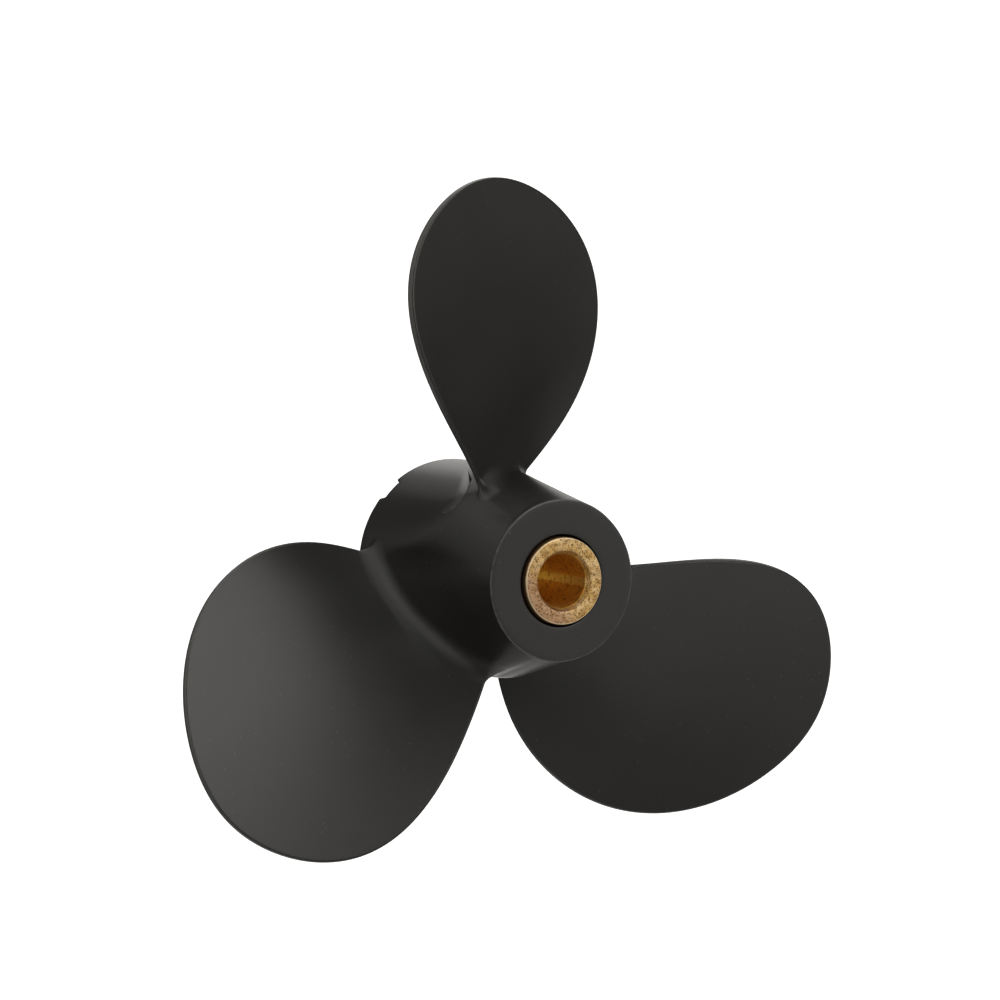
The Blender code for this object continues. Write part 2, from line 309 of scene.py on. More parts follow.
# %% [markdown]
# ## The hub as one closed shell
#
# The skin alone would be a sheet. The real hub goes on over the rim, down into the recess, over
# the boss that holds the rubber bush, through the bore and back to the aft face. Following that
# whole loop with the grid's rows gives one watertight ring. Each corner gets a small curve, because
# a painted casting has no razor edges and the curves are what catches the light.

# %% Rounded profiles
CORNER_STEPS = 4


def rounded_path(corners):
    """A path of (radius, station) whose corners are (radius, station, rounding).

    Each corner is cut back by its rounding and bridged by a quadratic curve.
    """
    corners = np.array(corners, float)
    path = []
    for before, here, after in zip(corners[:-2], corners[1:-1], corners[2:]):
        back = before[:2] - here[:2]
        on = after[:2] - here[:2]
        start = here[:2] + back / np.hypot(*back) * here[2]
        end = here[:2] + on / np.hypot(*on) * here[2]
        t = np.linspace(0.0, 1.0, CORNER_STEPS + 1)[:, None]
        path.append((1 - t) ** 2 * start + 2 * t * (1 - t) * here[:2] + t**2 * end)
    return np.concatenate([corners[:1, :2], *path, corners[-1:, :2]])


def spaced(*stops):
    """Numbers that run through stops of (value, steps to reach it); the first has no steps."""
    parts = [np.array([stops[0]], float)]
    last = stops[0]
    for value, steps in stops[1:]:
        parts.append(np.linspace(last, value, steps + 1)[1:])
        last = value
    return np.concatenate(parts)


# %% [markdown]
# The grid's lines are spent where the skin bends most. Columns crowd together at the shoulder's
# side and hook, and the rows follow the groove's line instead of crossing it, so that its crisp
# corner doesn't turn into steps. The forward rim has three notches, which lower its last rows.

# %% The hub's shell
NOTCH_ANGLE = math.radians(-43.8)
NOTCH_HALF = 3.0
NOTCH_DEPTH = 2.1
NOTCH_SOFT = 0.9
NOTCH_FADE_START = 14.0
NOTCH_FADE_LENGTH = 8.0
EDGE_ROUND = 0.45
HOLE_ROUND = 0.3
FACE_STEPS = 6
WIDEN_POWER = 6

# Degrees round the shaft and the steps that reach them, for a third of the columns.
COLUMN_STOPS = (-83, (-62, 13), (-54, 30), (-48, 15), (-38.5, 14), (-35.5, 6), (-28, 12), (37, 34))

# How far the rows follow the groove, and the stretches before, over and behind it.
ROWS_FOLLOW = -6.0
ROWS_SOFT = 2.0
NEAR_SIDE = 0.01
BEFORE_GROOVE = 1.6
PAST_GROOVE = 1.0
PAST_SHOULDER = 6.0

# The recess and the boss in it: where the wall bends, their drafts and roundings.
RECESS_BEND = 12.0
RECESS_BEND_ROUND = 2.0
RECESS_DRAFT = 0.3
RECESS_FILLET = 1.6
BOSS_DRAFT = 0.4
RIM_ROUND = 0.5
BORE_SPREAD = 4.0
BORE_ROUND = 0.4


def notch_share(angle):
    """1 inside a notch of the forward rim, 0 outside and an S curve over each of its sides."""
    offset = np.mod(angle - NOTCH_ANGLE + STEP / 2.0, STEP) - STEP / 2.0
    return smooth_step((NOTCH_HALF - np.abs(RIM_RADIUS * offset)) / NOTCH_SOFT + 0.5)


def hub_shell():
    """The hub from its aft hole over the skin, rim, recess and boss back through the bore.

    The rows' anchor is the shoulder's end line, bent towards its side by the corner's rounding
    squared over four times the distance from the side, and it stops at ROWS_FOLLOW. That is the
    groove's line in one formula.
    """
    third = np.radians(spaced(*COLUMN_STOPS))[:-1]
    angle = np.concatenate([third + STEP * k for k in range(BLADES)])[None, :]
    rim = HUB_FORWARD - NOTCH_DEPTH * notch_share(angle)
    aft_edge = HUB_AFT + EDGE_ROUND
    forward_edge = rim - EDGE_ROUND
    beside = np.maximum(RIM_RADIUS * (in_passage(angle) - SHOULDER_SIDE), NEAR_SIDE)
    outline = shoulder_end(angle) + SHOULDER_CORNER**2 / (4.0 * beside)
    anchor = soft_min(outline, ROWS_FOLLOW, ROWS_SOFT)
    before = anchor - BEFORE_GROOVE
    past = anchor + PAST_GROOVE
    barrel = anchor + PAST_SHOULDER
    stretches = [(aft_edge, before, 22), (before, past, 20), (past, barrel, 12),
                 (barrel, forward_edge, 16)]
    rows = [aft_edge + 0.0 * angle]
    for low, high, steps in stretches:
        rows.append(low + (high - low) * np.linspace(0.0, 1.0, steps + 1)[1:, None])
    station = np.concatenate(rows)
    skin = on_shaft(angle, hub_radius(angle, station), station)

    aft = rounded_path([(HOLE_RADIUS, HUB_AFT + AFT_WALL, 0), (HOLE_RADIUS, HUB_AFT, HOLE_ROUND),
                        (AFT_RADIUS, HUB_AFT, EDGE_ROUND),
                        (AFT_RADIUS, HUB_AFT + AFT_WALL, 0)])[:-1]
    turn_end = CORNER_STEPS + 1
    face = np.linspace(aft[turn_end], aft[turn_end + 1], FACE_STEPS + 1)[1:-1]
    aft = np.concatenate([aft[:turn_end + 1], face, aft[turn_end + 1:]])
    share = ((aft[:, :1] - HOLE_RADIUS) / (AFT_RADIUS - HOLE_RADIUS)) ** WIDEN_POWER
    widen = hub_radius(angle, aft_edge) - AFT_RADIUS
    start = on_shaft(angle, aft[:, :1] + widen * share, aft[:, 1:])

    outer = barrel_radius(HUB_FORWARD)
    over = rounded_path([(outer, RECESS_BEND, 0),
                         (outer, HUB_FORWARD, EDGE_ROUND),
                         (RECESS_RADIUS, HUB_FORWARD, RIM_ROUND),
                         (RECESS_RADIUS - RECESS_DRAFT, RECESS_BEND, RECESS_BEND_ROUND),
                         (RECESS_RADIUS - 2.0 * RECESS_DRAFT, RECESS_BOTTOM, RECESS_FILLET),
                         (BOSS_RADIUS + BOSS_DRAFT, RECESS_BOTTOM, RECESS_FILLET),
                         (BOSS_RADIUS, BOSS_FORWARD, RIM_ROUND),
                         (BUSH_BORE_RADIUS, BOSS_FORWARD, RIM_ROUND),
                         (BUSH_BORE_RADIUS, 0.0, BORE_SPREAD),
                         (BUSH_BORE_RADIUS, HUB_AFT + AFT_WALL, BORE_ROUND),
                         (HOLE_RADIUS, HUB_AFT + AFT_WALL, 0.0)])[2:-1]
    lowered = (rim - HUB_FORWARD) * smooth_step((over[:, 1:] - NOTCH_FADE_START) / NOTCH_FADE_LENGTH)
    on_wall = over[:, :1] > RECESS_RADIUS - 2.0 * RECESS_DRAFT
    lowered = np.where(on_wall, lowered, 0.0)
    share = np.clip((over[:, :1] - RECESS_RADIUS) / (outer - RECESS_RADIUS), 0.0, 1.0)
    shrink = (hub_radius(angle, forward_edge) - outer) * share
    end = on_shaft(angle, over[:, :1] + shrink, over[:, 1:] + lowered)
    points = np.concatenate([start, skin, end])
    return points, grid_faces(*points.shape[:2], loop_rows=True, loop_columns=True)


hub = hub_shell()
print(f"hub shell: {len(hub[1])} faces, {shell_volume(hub[0].reshape(-1, 3), hub[1]) / 1000:.1f} ml")

# %% [markdown]
# ## The blades
#
# A blade is a leaf cut out of the screw surface and thickened. Its outline is a formula too: the
# half angle closes as an ellipse of high power and narrows a little on its way out, and the middle
# line between the edges sweeps back.
#
# A plain grid of sections would bunch up at the tip and leave the rim jagged there. So the rows
# start on the trailing edge, run in to a spine along the blade's middle and back out to the
# leading edge, and the last row folds onto itself at the tip. The first few columns lie at exact
# distances from the edge, which makes the rounded rim even all the way round.

# %% Blade outline and thickness
HALF_ANGLE = math.radians(40.35)
CLOSE_POWER = 2.37
NARROWING = 0.196
NARROW_POWER = 12.0
SWEEP_START = math.radians(6.3)
SWEEP_TIP = math.radians(-11.8)
SWEEP_POWER = 1.5
NECK_SHARE = 0.29
NECK_POWER = 5.1
NECK_TRAILING = math.radians(2.27)
NECK_LEADING = math.radians(6.66)
FLARE_TRAILING = math.radians(1.4)
FLARE_POWER = 9.0
CURL = 1.4
EDGE_HALF = 0.95
EDGE_HALF_ROOT = 0.5
EDGE_DEPTH = 0.85
EDGE_POWER = 0.5
ROOT_CROWN = 3.4
NEAR_TIP = 0.999


def blade_edges(share):
    """Angles of the trailing and the leading edge at a share of the tip radius.

    A middle line sweeps back as a power of the share. On each side of it lies the half angle,
    which closes as an ellipse of high power. Near the root a neck takes a little off both sides,
    and the trailing edge flares out again.
    """
    middle = SWEEP_START + SWEEP_TIP * share**SWEEP_POWER
    close = np.sqrt(np.clip(1.0 - share**CLOSE_POWER, 0.0, None))
    half = HALF_ANGLE * close * (1.0 - NARROWING * share**NARROW_POWER)
    inner = np.clip((1.0 - share) / (1.0 - NECK_SHARE), 0.0, 1.0)
    neck = inner**NECK_POWER
    flare = FLARE_TRAILING * inner**FLARE_POWER
    return middle - half + NECK_TRAILING * neck - flare, middle + half - NECK_LEADING * neck


def across_blade(angle, share):
    """Place across the blade: -1 on the trailing edge, 0 in the middle, 1 on the leading edge."""
    trailing, leading = blade_edges(share)
    return (2.0 * angle - trailing - leading) / (leading - trailing)


def screw_station(angle, radius):
    """Station of the screw surface: the lead times the angle, raked back towards the tip.

    The corner at the trailing root curls forward a little, as a power of the share and a parabola.
    """
    share = np.minimum(radius / TIP_RADIUS, NEAR_TIP)
    inner = np.clip((1.0 - share) / (1.0 - NECK_SHARE), 0.0, 1.0)
    curl = CURL * inner**FLARE_POWER * np.clip(-across_blade(angle, share), 0.0, 1.0) ** 2
    return LEAD * angle - RAKE * (radius / TIP_RADIUS - RAKE_SHARE) + curl


def crown(angle, radius):
    """Extra thickness of the forward side: a parabola across, fading in a line to the tip."""
    share = np.minimum(radius / TIP_RADIUS, NEAR_TIP)
    return ROOT_CROWN * (1.0 - share) * np.clip(1.0 - across_blade(angle, share) ** 2, 0.0, None)


def off_blade(angle, radius, outward, along=0.0):
    """A point of the screw surface moved outward along its normal and along its screw line."""
    slope = np.arctan2(LEAD, radius)
    moved = angle + (along * np.cos(slope) - outward * np.sin(slope)) / radius
    return moved, screw_station(angle, radius) + outward * np.cos(slope) + along * np.sin(slope)


# %% [markdown]
# At the root a fillet flows from the blade into the hub. It is a quarter circle of about 4 mm,
# which shrinks on the forward side towards the blade's edges and round the leading edge. Every
# point of it stands at the right height over the hub's skin, so its foot meets the skin exactly.
# A few rounds find that height, because the skin's radius depends on where the fillet goes. The
# shell then runs on inside the hub, where nothing shows.

# %% One blade's shell
ROWS = 60
RIM_STEPS = 8
INNER_STEPS = 24
SPINE_END = 0.6
OUTLINE_START = 0.3
SPINE_POWER = 1.6
EDGE_GROWTH = 0.35
FILLET_STEPS = 14
PRESSURE_FILLET = 3.8
SUCTION_FILLET = 4.5
EDGE_FILLET = {1.0: 0.7, -1.0: 4.5}
TRAILING_FILLET = 4.0
LEADING_FILLET = 2.2
ROOT_FADE_POWER = 6
HEIGHT_ROUNDS = 6

# Past the fillet: share of its size, more millimetres away from the blade, and depth.
FOOT = ((1.0, 0.25, 0.01), (1.0, 0.5, 0.3), (0.0, 0.0, 1.7))


def blade_columns():
    """Angle, share of the tip radius, half thickness and sine of the rim's turn, on the grid.

    The rim's section is an oval with an exponent: its half thickness is a power of a sine and its
    depth one less a power of the cosine, which leaves it flat with two small round corners. The
    spine's depth is measured square to the outline, as a cross product over the outline's length.
    """
    v = np.linspace(0.0, 1.0, ROWS + 1)[:, None]
    edge = 1.0 - (1.0 - OUTLINE_START) * (1.0 - v) ** 2
    spine = OUTLINE_START + (SPINE_END - OUTLINE_START) * (1.0 - (1.0 - v) ** SPINE_POWER)
    turn = np.pi / 2.0 * smooth_step(np.linspace(0.0, 1.0, RIM_STEPS + 1))
    growth = smooth_step((edge - OUTLINE_START) / EDGE_GROWTH)
    rim_half = EDGE_HALF_ROOT + (EDGE_HALF - EDGE_HALF_ROOT) * growth
    rim_depth = EDGE_DEPTH * rim_half / EDGE_HALF * (1.0 - np.cos(turn) ** EDGE_POWER)
    width = np.hypot(edge * TIP_RADIUS, LEAD)
    along = TIP_RADIUS * np.gradient(edge, axis=0)
    middle = sum(blade_edges(spine)) / 2.0
    halves = []
    for side, edge_angle in zip((-1.0, 1.0), blade_edges(edge)):
        sideways = width * np.gradient(edge_angle, axis=0)
        run = np.hypot(sideways, along) * side
        depth = (TIP_RADIUS * (spine - edge) * sideways - width * (middle - edge_angle) * along) / run
        rim_in = rim_depth / depth
        inner = np.linspace(0.0, 1.0, INNER_STEPS + 1)[1:]
        inner = rim_in[:, -1:] + (1.0 - rim_in[:, -1:]) * inner
        inward = np.concatenate([rim_in, inner], axis=1)
        halves.append((edge_angle + (middle - edge_angle) * inward, edge + (spine - edge) * inward))
    angle, share = (np.concatenate([trailing, leading[:, -2::-1]], axis=1)
                    for trailing, leading in zip(*halves))
    sine = np.concatenate([np.sin(turn), np.ones(2 * INNER_STEPS - 1), np.sin(turn[::-1])])
    return angle, share, rim_half * sine**EDGE_POWER, sine


def blade_shell():
    """One blade: both sides from inside the hub's wall through the fillet out to the tip.

    The fillet's radius goes from its size at the edges to its full size as (1 - across^2)^2.
    """
    angle, share, half, sine = blade_columns()
    columns = angle.shape[1]
    across = np.clip(across_blade(angle[:1], share[:1]), -1.0, 1.0)
    outward = sine**EDGE_POWER
    out_edge = np.sign(across) * np.sqrt(1.0 - sine**2) ** EDGE_POWER
    length = np.hypot(outward, out_edge)
    outward = outward / length
    out_edge = out_edge / length
    edge_fillet = np.where(across < 0.0, TRAILING_FILLET, LEADING_FILLET)
    fade = (1.0 - np.linspace(0.0, 1.0, ROWS + 1)[:, None]) ** ROOT_FADE_POWER
    sides = []
    for side, full in ((1.0, SUCTION_FILLET), (-1.0, PRESSURE_FILLET)):
        size = EDGE_FILLET[side] + (full - EDGE_FILLET[side]) * (1.0 - across**2) ** 2
        size = size + (edge_fillet - size) * out_edge**2
        bend = np.linspace(0.0, np.pi / 2.0, FILLET_STEPS + 1)[:, None]
        away = np.concatenate([size * (1.0 - np.cos(bend))]
                              + [part * size + more for part, more, _ in FOOT])
        height = np.concatenate([size * (1.0 - np.sin(bend))]
                                + [0.0 * size - depth for _, _, depth in FOOT])
        radius = RIM_RADIUS + height
        for _ in range(HEIGHT_ROUNDS):
            thick = half[:1] + (crown(angle[:1], radius) if side > 0.0 else 0.0)
            at, station = off_blade(angle[:1], radius, side * (thick + away * outward),
                                    away * out_edge)
            radius = plain_radius(at, station) + height
        fillet = on_shaft(at, radius, station)[::-1]
        root = radius[:1] / TIP_RADIUS
        out = share + (root - share[:1]) * fade
        radius = out * TIP_RADIUS
        thick = half + (crown(angle, radius) if side > 0.0 else 0.0)
        at, station = off_blade(angle, radius, side * thick)
        face = on_shaft(at, radius, station)
        sides.append(np.concatenate([fillet, face[1:]]))
    suction, pressure = sides
    rings = np.concatenate([suction, pressure[:, ::-1]], axis=1)
    faces = grid_faces(*rings.shape[:2], loop_columns=True)
    bottom = np.arange(columns)
    cap = np.stack([bottom[:-1], bottom[1:], 2 * columns - 2 - bottom[:-1],
                    2 * columns - 1 - bottom[:-1]], axis=-1)
    return rings, np.concatenate([faces, cap])


blade = blade_shell()


def turned(shell, angle):
    """The same shell turned about the shaft."""
    points, faces = shell
    c, s = math.cos(angle), math.sin(angle)
    spin = np.array([[c, 0.0, s], [0.0, 1.0, 0.0], [-s, 0.0, c]])
    return points.reshape(-1, 3) @ spin.T, faces


# %% [markdown]
# Three short ribs stand in the recess between its wall and the boss, so that the boss doesn't
# shake loose when the propeller strikes something. A rib is a rounded section carried along a
# radius. Its ends lie inside the wall and the boss, where the real casting flows from one to the
# other.

# %% Ribs in the recess
RIB_THICKNESS = 5.0
RIB_LEDGE = 1.0
RIB_OVERLAP = 0.8
RIB_ROUND = 1.2
RIB_FOOT_ROUND = 0.2
RIB_TURN = 0.1


def rib_shell():
    """A rounded rectangle carried from the boss to the recess's wall, closed at both ends."""
    half = RIB_THICKNESS / 2.0
    bottom = RECESS_BOTTOM - RIB_OVERLAP
    top = BOSS_FORWARD - RIB_LEDGE
    section = rounded_path([(0.0, bottom, 0), (half, bottom, RIB_FOOT_ROUND),
                            (half, top, RIB_ROUND), (-half, top, RIB_ROUND),
                            (-half, bottom, RIB_FOOT_ROUND), (0.0, bottom, 0)])[:-1]
    middle = np.array([0.0, (bottom + top) / 2.0])
    share = np.array([0.0, 1.0, 1.0, 0.0])[:, None, None]
    ring = middle + (section - middle) * share
    inner = BOSS_RADIUS - RIB_OVERLAP
    outer = RECESS_RADIUS - RECESS_DRAFT + RIB_OVERLAP
    radius = np.array([inner, inner, outer, outer])[:, None]
    points = np.stack([ring[..., 0], ring[..., 1], np.broadcast_to(radius, ring.shape[:2])], axis=-1)
    return points, grid_faces(*points.shape[:2], loop_columns=True)


ribs = [turned(rib_shell(), STEP * (k + RIB_TURN)) for k in range(BLADES)]
blades = [turned(blade, STEP * k) for k in range(BLADES)]
casting = make_piece("propeller_casting_skin", [hub] + blades + ribs)
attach(casting, "root")
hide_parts("propeller_casting")

# %% [markdown]
# ## The bronze sleeve
#
# The sleeve is a plain bearing pressed from bronze powder, with a turned mouth. Its forward end
# has a slot right across it for the drive pin. A turned shape can't have a slot, and a Boolean
# would leave long thin faces. So the grid's columns slide sideways: those beside the slot keep
# their distance from its middle line on every row, and the slot's sides come out flat and crisp.

# %% The sleeve's shell
SLEEVE_EDGE = 0.35
SLEEVE_SHARP = 30.0
FACE_ROUND = 0.12
WALL_ROUND = 0.15
OUTER_CHAMFER = 0.25
BORE_CHAMFER = 0.85
CHAMFER_DEPTH = 1.6 * BORE_CHAMFER
PIN_SLOT_HALF = 2.6
PIN_SLOT_DEPTH = 6.0
SLOT_FLOOR_STEPS = 8
SLOT_WALL_STEPS = 6
BEYOND_STEPS = 28


def slot_columns(radius):
    """Angles of the columns on every row's radius, counted from the slot's middle line.

    Inside the slot a column lies at asin(offset / radius), which keeps its offset from the middle
    line. The columns of the slot's wall share one offset and climb from its floor to the end face.
    A quarter turn is worked out, and the rest is that quarter mirrored and turned.
    """
    offset = np.concatenate([spaced(0.0, (PIN_SLOT_HALF, SLOT_FLOOR_STEPS))[:-1],
                             np.full(SLOT_WALL_STEPS + 1, PIN_SLOT_HALF)])
    climb = np.concatenate([np.zeros(SLOT_FLOOR_STEPS),
                            np.linspace(0.0, 1.0, SLOT_WALL_STEPS + 1)])
    inside = np.arcsin(offset / radius)
    beyond = np.linspace(0.0, 1.0, BEYOND_STEPS + 1)[1:]
    outside = inside[:, -1:] + (np.pi / 2.0 - inside[:, -1:]) * beyond
    quarter = np.concatenate([inside, outside], axis=1)
    climb = np.concatenate([climb, np.ones(BEYOND_STEPS)])
    half = np.concatenate([quarter, np.pi - quarter[:, -2:0:-1]], axis=1)
    half_climb = np.concatenate([climb, climb[-2:0:-1]])
    return np.concatenate([half, np.pi + half], axis=1), np.concatenate([half_climb, half_climb])


def sleeve_shell():
    """The sleeve's loop from its bore over the chamfered aft mouth, outside and forward end."""
    mouth = SLEEVE_BORE + BORE_CHAMFER
    path = rounded_path([(SLEEVE_BORE, 0.0, 0),
                         (SLEEVE_BORE, SLEEVE_AFT + CHAMFER_DEPTH, WALL_ROUND),
                         (mouth, SLEEVE_AFT, FACE_ROUND),
                         (SLEEVE_RADIUS - OUTER_CHAMFER, SLEEVE_AFT, FACE_ROUND),
                         (SLEEVE_RADIUS, SLEEVE_AFT + 2.0 * OUTER_CHAMFER, WALL_ROUND),
                         (SLEEVE_RADIUS, SLEEVE_FORWARD, SLEEVE_EDGE),
                         (mouth, SLEEVE_FORWARD, FACE_ROUND),
                         (SLEEVE_BORE, SLEEVE_FORWARD - CHAMFER_DEPTH, WALL_ROUND),
                         (SLEEVE_BORE, 0.0, 0)])[:-1]
    radius = path[:, :1]
    angle, climb = slot_columns(radius)
    low = np.minimum(path[:, 1:], SLEEVE_FORWARD - PIN_SLOT_DEPTH)
    station = low + (path[:, 1:] - low) * climb
    points = on_shaft(angle + np.pi / 2.0, radius, station)
    return points, grid_faces(*points.shape[:2], loop_rows=True, loop_columns=True)


sleeve = make_piece("sintered_bronze_sleeve", [sleeve_shell()], SLEEVE_SHARP)
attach(sleeve, "root")
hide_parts("bronze_sleeve")

# %% [markdown]
# ## The rubber bush
#
# The bush is moulded between the sleeve and the hub, and it shears instead of a gear when a blade
# strikes something. Moulded rubber shrinks as it cools, so its two end faces are a little hollow.
# A turned profile with hollow ends shows that, and only its ends are ever seen.

# %% The bush's shell
BUSH_GAP = 0.3
BUSH_AFT = HUB_AFT + AFT_WALL + BUSH_GAP
BUSH_FORWARD = 17.5
BUSH_HOLLOW = 0.9
BUSH_COLUMNS = 128
BUSH_END_STEPS = 12


def bush_shell():
    """A ring whose ends dip by a parabola: deepest halfway between the sleeve and the hub."""
    inner = SLEEVE_RADIUS + BUSH_GAP
    outer = BUSH_BORE_RADIUS - BUSH_GAP
    across = np.linspace(0.0, 1.0, BUSH_END_STEPS + 1)
    dip = BUSH_HOLLOW * 4.0 * across * (1.0 - across)
    end = inner + (outer - inner) * across
    radius = np.concatenate([end, end[::-1]])
    station = np.concatenate([BUSH_AFT + dip, (BUSH_FORWARD - dip)[::-1]])
    angle = TURN * np.arange(BUSH_COLUMNS)[None, :] / BUSH_COLUMNS
    points = on_shaft(angle, radius[:, None], station[:, None])
    return points, grid_faces(*points.shape[:2], loop_rows=True, loop_columns=True)


bush = make_piece("rubber_cushion_bush", [bush_shell()])
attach(bush, "root")
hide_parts("rubber_bush")

# %% [markdown]
# ## Camera
#
# The photo is taken from aft, about 30 degrees to the left of the shaft and 4 degrees above it. The
# shaft's circles show as ellipses, and their shapes give both angles. The distance and the long
# lens follow from how much larger the near parts look than the far ones.

# %% Camera
AZIMUTH = math.radians(-30.03)
ELEVATION = math.radians(4.04)
ROLL = math.radians(1.39)
DISTANCE = 1804.8
FOCAL = 270.25
FILM_WIDTH = 36.0
CLIP_NEAR = 0.1
CLIP_FAR = 400.0
AIM = Vector((0.0, -4.6, 0.0))
AIM_RIGHT = -2.2
AIM_UP = 17.37


def toward(azimuth, elevation):
    """Direction from the object: azimuth 0 is aft and grows towards +X, elevation is upward."""
    level = math.cos(elevation)
    return Vector((math.sin(azimuth) * level, -math.cos(azimuth) * level, math.sin(elevation)))


back = toward(AZIMUTH, ELEVATION)
level_right = Vector((math.cos(AZIMUTH), math.sin(AZIMUTH), 0.0))
level_up = back.cross(level_right)
right = math.cos(ROLL) * level_right + math.sin(ROLL) * level_up
up = math.cos(ROLL) * level_up - math.sin(ROLL) * level_right
place = AIM + AIM_RIGHT * right + AIM_UP * up + DISTANCE * back
lens = bpy.data.cameras.new("view_from_aft")
lens.lens = FOCAL
lens.sensor_width = FILM_WIDTH
lens.clip_start = CLIP_NEAR
lens.clip_end = CLIP_FAR
camera = bpy.data.objects.new("view_from_aft", lens)
scene = bpy.context.scene
scene.collection.objects.link(camera)
camera.matrix_world = (Matrix.Translation(place * MM)
                       @ Matrix((right, up, back)).transposed().to_4x4())
scene.camera = camera
scene.view_settings.view_transform = "Standard"
print(f"camera {DISTANCE:.0f} mm away, {FOCAL:.0f} mm lens")

# %% [markdown]
# ## Studio light
#
# Black paint shows almost nothing but reflections, so the light has to be built like a product
# studio. A strong softbox stands to the upper right of the camera, a long strip on the left and
# another behind on the right, and the light that a white floor throws back comes from below.
#
# The places and widths were chosen. The brightnesses started from a least squares fit:
# the propeller was rendered with one light at a time, and those renders were weighed against the
# photo's greys. After that they were rounded and adjusted. Power is brightness times pi
# and area.

# %% Softboxes
LIGHT_DISTANCE = 2.6
WARM_WHITE = (1.0, 0.985, 0.955)
STUDIO_GLOW = 0.05


def softbox(name, azimuth, elevation, wide, high, bright):
    """A rectangular light that faces the object, its width and height given in degrees."""
    lamp = bpy.data.lights.new(name, "AREA")
    lamp.shape = "RECTANGLE"
    lamp.size = 2.0 * LIGHT_DISTANCE * math.tan(math.radians(wide) / 2.0)
    lamp.size_y = 2.0 * LIGHT_DISTANCE * math.tan(math.radians(high) / 2.0)
    lamp.energy = bright * math.pi * lamp.size * lamp.size_y
    lamp.color = WARM_WHITE
    made = bpy.data.objects.new(name, lamp)
    way = toward(math.radians(azimuth), math.radians(elevation))
    facing = way.to_track_quat("Z", "Y").to_matrix().to_4x4()
    made.matrix_world = Matrix.Translation(way * LIGHT_DISTANCE) @ facing
    made.visible_camera = False
    scene.collection.objects.link(made)


# Azimuth, elevation, width and height in degrees, and brightness.
SOFTBOXES = {
    "key_softbox": (27, 27, 38, 38, 3.2),
    "lower_right_softbox": (45, -20, 40, 44, 0.8),
    "overhead_softbox": (0, 89, 46, 46, 1),
    "left_strip": (-88, 18, 22, 76, 1.5),
    "rear_right_strip": (148, 12, 28, 96, 1.2),
    "rear_upper_softbox": (165, 45, 40, 30, 0.75),
    "floor_bounce": (60, -72, 76, 56, 0.63),
    "left_floor_bounce": (-120, -55, 60, 50, 0.44),
    "front_floor_bounce": (-30, -45, 60, 34, 0.2),
    "rear_floor_bounce": (160, -30, 40, 40, 0.33),
    "camera_side_fill": (-28, -6, 56, 44, 0.48),
    "camera_upper_fill": (-20, 18, 40, 24, 0.65),
    "right_fill": (78, 2, 38, 22, 0.12),
    "right_lower_fill": (80, -32, 44, 24, 0.34),
    "right_upper_fill": (95, 52, 50, 40, 0.36),
    "left_rear_fill": (-120, 34, 46, 20, 0.5),
    "left_rear_lower_fill": (-124, 10, 50, 26, 0.36),
    "left_upper_fill": (-100, 60, 60, 30, 0.6),
}
for name, numbers in SOFTBOXES.items():
    softbox(name, *numbers)
world = bpy.data.worlds.new("dim_studio")
scene.world = world
world.use_nodes = True
air = world.node_tree.nodes["Background"]
air.inputs["Color"].default_value = (*WARM_WHITE, 1.0)
air.inputs["Strength"].default_value = STUDIO_GLOW
print("softboxes:", len(SOFTBOXES))

# %% [markdown]
# ## The white sweep
#
# Behind the propeller is nothing but white. A studio gets that with a seamless sweep: a floor that
# curves up into the wall with no corner. Here it is one large sphere whose lower part is flattened
# into a floor by a soft maximum. Only the camera sees it. It neither lights the propeller nor
# shows in the paint, which is the softboxes' work. It reaches 6 m out, because a camera that is
# moved round the object may see no further than about 12 m.

# %% Sweep
SWEEP_RADIUS = 6000.0
FLOOR_LEVEL = -2200.0
FLOOR_SOFT = 1000.0
SWEEP_ROWS = 120
SWEEP_COLUMNS = 160


def sweep_shell():
    """A sphere of (latitude, longitude) whose height never falls below the floor's level."""
    latitude = np.linspace(-np.pi / 2.0, np.pi / 2.0, SWEEP_ROWS + 1)[:, None]
    longitude = TURN * np.arange(SWEEP_COLUMNS)[None, :] / SWEEP_COLUMNS
    height = soft_max(SWEEP_RADIUS * np.sin(latitude), FLOOR_LEVEL, FLOOR_SOFT)
    level = SWEEP_RADIUS * np.cos(latitude)
    height, level, longitude = np.broadcast_arrays(height, level, longitude)
    points = np.stack([level * np.cos(longitude), level * np.sin(longitude), height], axis=-1)
    return points, grid_faces(*points.shape[:2], loop_columns=True)


sweep = make_piece("white_studio_sweep", [sweep_shell()])
sweep.visible_diffuse = False
sweep.visible_glossy = False
sweep.visible_transmission = False
sweep.visible_shadow = False

# %% [markdown]
# ## Finishes as sums of fields
#
# A finish is worked out at each point from its place on the piece, so it needs no pictures. The
# small class below lets a node's output take part in ordinary Python sums, and each operator adds
# one Math node. That keeps a finish readable as a formula.

# %% Fields
def plug(tree, socket, value):
    """Gives a socket a link if the value is a field, and a constant otherwise."""
    if isinstance(value, Field):
        tree.links.new(value.output, socket)
    else:
        socket.default_value = value


